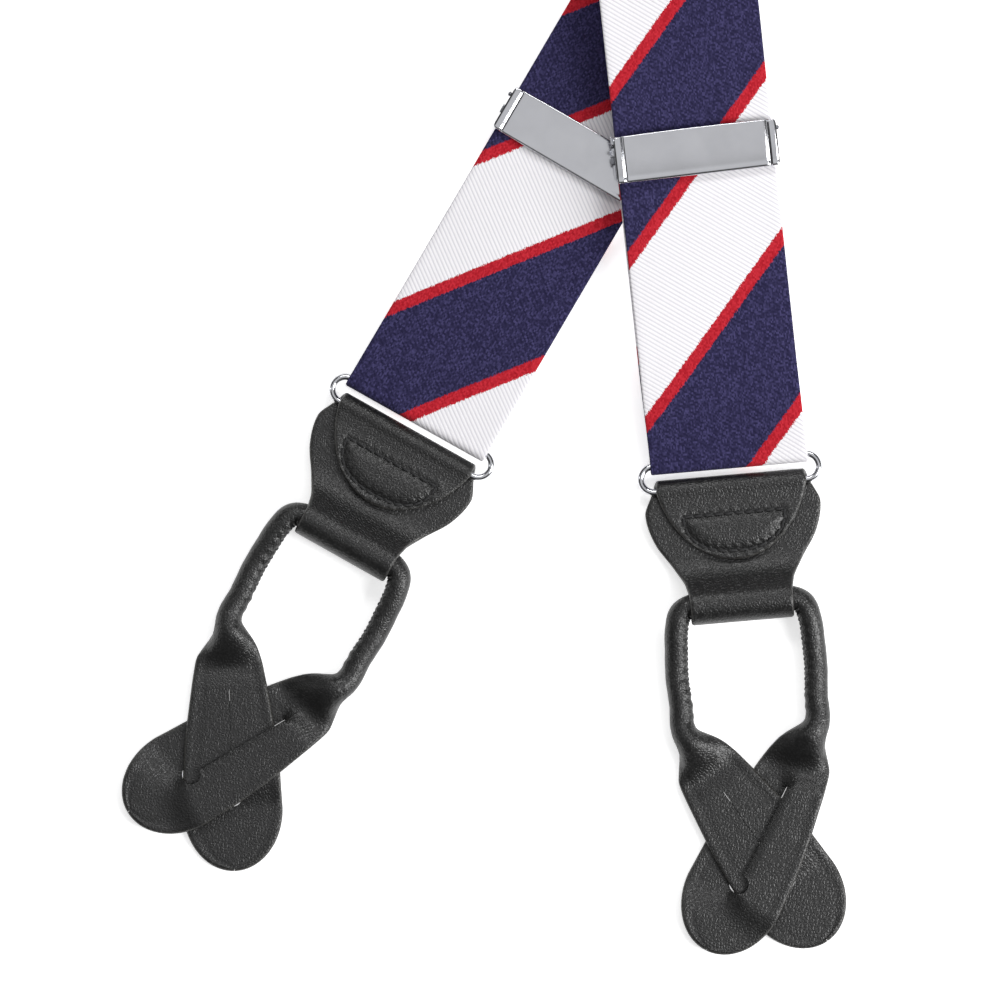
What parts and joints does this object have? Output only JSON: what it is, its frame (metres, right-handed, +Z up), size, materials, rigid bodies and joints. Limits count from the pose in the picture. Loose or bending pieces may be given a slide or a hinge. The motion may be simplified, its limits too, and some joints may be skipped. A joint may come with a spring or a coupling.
{
  "type": "button-on dress braces",
  "caption": "Y-back button-on dress braces: diagonal striped woven straps, clamping slide adjusters, wire rings, leather tabs and rolled leather button loops.",
  "frame": {"origin": "middle of the braces' own box, on the table they lie on", "axes": "+Z up from the table; +Y along the braces from the two front ends to the back end; +X to the wearer's left when worn"},
  "size_m": [0.176, 1.082, 0.0201],
  "materials": {
    "striped_ribbon": "woven ribbon with diagonal navy, white and red stripes",
    "black_elastic": "ribbed black elastic webbing",
    "black_leather": "fine-grained black leather, semi-matt",
    "sewing_thread": "waxed black thread",
    "core_cord": "twisted natural cotton cord",
    "ring_wire": "polished nickel-plated wire",
    "adjuster_plate": "satin-polished nickel-plated plate",
    "adjuster_pins": "nickel-plated pin"
  },
  "bodies": {
    "straps": {"left_strap": "striped_ribbon", "right_strap": "striped_ribbon", "patch_front_leather": "black_leather", "patch_back_leather": "black_leather", "patch_stitch_thread": "sewing_thread", "back_elastic": "black_elastic"},
    "left_adjuster": {"left_adjuster_frame": "adjuster_plate", "left_adjuster_hinge_pin": "adjuster_pins", "left_adjuster_tail_bar": "adjuster_pins", "left_strap_tail": "striped_ribbon", "left_tail_stitch_thread": "sewing_thread"},
    "left_lever": {"left_adjuster_lever": "adjuster_plate"},
    "left_ring": {"left_ring": "ring_wire"},
    "left_tab": {"left_tab_leather": "black_leather", "left_tab_stitch_thread": "sewing_thread"},
    "left_loop": {"left_loop_leather": "black_leather", "left_loop_core_cord": "core_cord", "left_loop_seam_thread": "sewing_thread"},
    "right_adjuster": {"right_adjuster_frame": "adjuster_plate", "right_adjuster_hinge_pin": "adjuster_pins", "right_adjuster_tail_bar": "adjuster_pins", "right_strap_tail": "striped_ribbon", "right_tail_stitch_thread": "sewing_thread"},
    "right_lever": {"right_adjuster_lever": "adjuster_plate"},
    "right_ring": {"right_ring": "ring_wire"},
    "right_tab": {"right_tab_leather": "black_leather", "right_tab_stitch_thread": "sewing_thread"},
    "right_loop": {"right_loop_leather": "black_leather", "right_loop_core_cord": "core_cord", "right_loop_seam_thread": "sewing_thread"},
    "back_hem": {"back_elastic_hem": "black_elastic", "back_hem_stitch_thread": "sewing_thread"},
    "back_ring": {"back_ring": "ring_wire"},
    "back_tab": {"back_tab_leather": "black_leather", "back_tab_stitch_thread": "sewing_thread"},
    "back_loop": {"back_loop_leather": "black_leather", "back_loop_core_cord": "core_cord", "back_loop_seam_thread": "sewing_thread"}
  },
  "joints": [
    {"name": "left_adjuster_slide", "type": "slide", "parent": "straps", "child": "left_adjuster", "axis": [0.3148, 0.9492, 0], "range_m": [-0.035, 0.025], "deforming": ["left_strap_tail"]},
    {"name": "left_lever_hinge", "type": "hinge", "parent": "left_adjuster", "child": "left_lever", "pos_m": [-0.01248, -0.35101, 0.00626], "axis": [-0.9492, 0.3148, 0], "range_deg": [0, 9]},
    {"name": "left_ring_hinge", "type": "hinge", "parent": "straps", "child": "left_ring", "pos_m": [-0.03695, -0.4246, 0.00306], "axis": [-0.9545, 0.2982, 0], "range_deg": [-40, 50]},
    {"name": "left_tab_hinge", "type": "hinge", "parent": "left_ring", "child": "left_tab", "pos_m": [-0.0388, -0.43052, 0.00306], "axis": [-0.9545, 0.2982, 0], "range_deg": [-40, 45]},
    {"name": "left_loop_hinge", "type": "hinge", "parent": "left_tab", "child": "left_loop", "pos_m": [-0.04712, -0.45715, 0.00506], "axis": [-0.9545, 0.2982, 0], "range_deg": [-40, 40]},
    {"name": "right_adjuster_slide", "type": "slide", "parent": "straps", "child": "right_adjuster", "axis": [-0.3125, 0.9421, 0.1219], "range_m": [-0.035, 0.025], "deforming": ["right_strap_tail"]},
    {"name": "right_lever_hinge", "type": "hinge", "parent": "right_adjuster", "child": "right_lever", "pos_m": [0.01375, -0.34605, 0.01515], "axis": [-0.9422, -0.3237, 0.0865], "range_deg": [0, 27]},
    {"name": "right_ring_hinge", "type": "hinge", "parent": "straps", "child": "right_ring", "pos_m": [0.03804, -0.41947, 0.00306], "axis": [-0.9563, -0.2924, 0], "range_deg": [-40, 50]},
    {"name": "right_tab_hinge", "type": "hinge", "parent": "right_ring", "child": "right_tab", "pos_m": [0.03985, -0.4254, 0.00306], "axis": [-0.9563, -0.2924, 0], "range_deg": [-40, 45]},
    {"name": "right_loop_hinge", "type": "hinge", "parent": "right_tab", "child": "right_loop", "pos_m": [0.04801, -0.45208, 0.00506], "axis": [-0.9563, -0.2924, 0], "range_deg": [-40, 40]},
    {"name": "back_elastic_stretch", "type": "slide", "parent": "straps", "child": "back_hem", "axis": [0, 1, 0], "range_m": [0, 0.06], "stiffness_N_per_m": 150, "deforming": ["back_elastic"]},
    {"name": "back_ring_hinge", "type": "hinge", "parent": "back_hem", "child": "back_ring", "pos_m": [0.00138, 0.4227, 0.00306], "axis": [1, 0, 0], "range_deg": [-40, 50]},
    {"name": "back_tab_hinge", "type": "hinge", "parent": "back_ring", "child": "back_tab", "pos_m": [0.00138, 0.4289, 0.00306], "axis": [1, 0, 0], "range_deg": [-40, 45]},
    {"name": "back_loop_hinge", "type": "hinge", "parent": "back_tab", "child": "back_loop", "pos_m": [0.00138, 0.4568, 0.00506], "axis": [1, 0, 0], "range_deg": [-40, 40]}
  ]
}
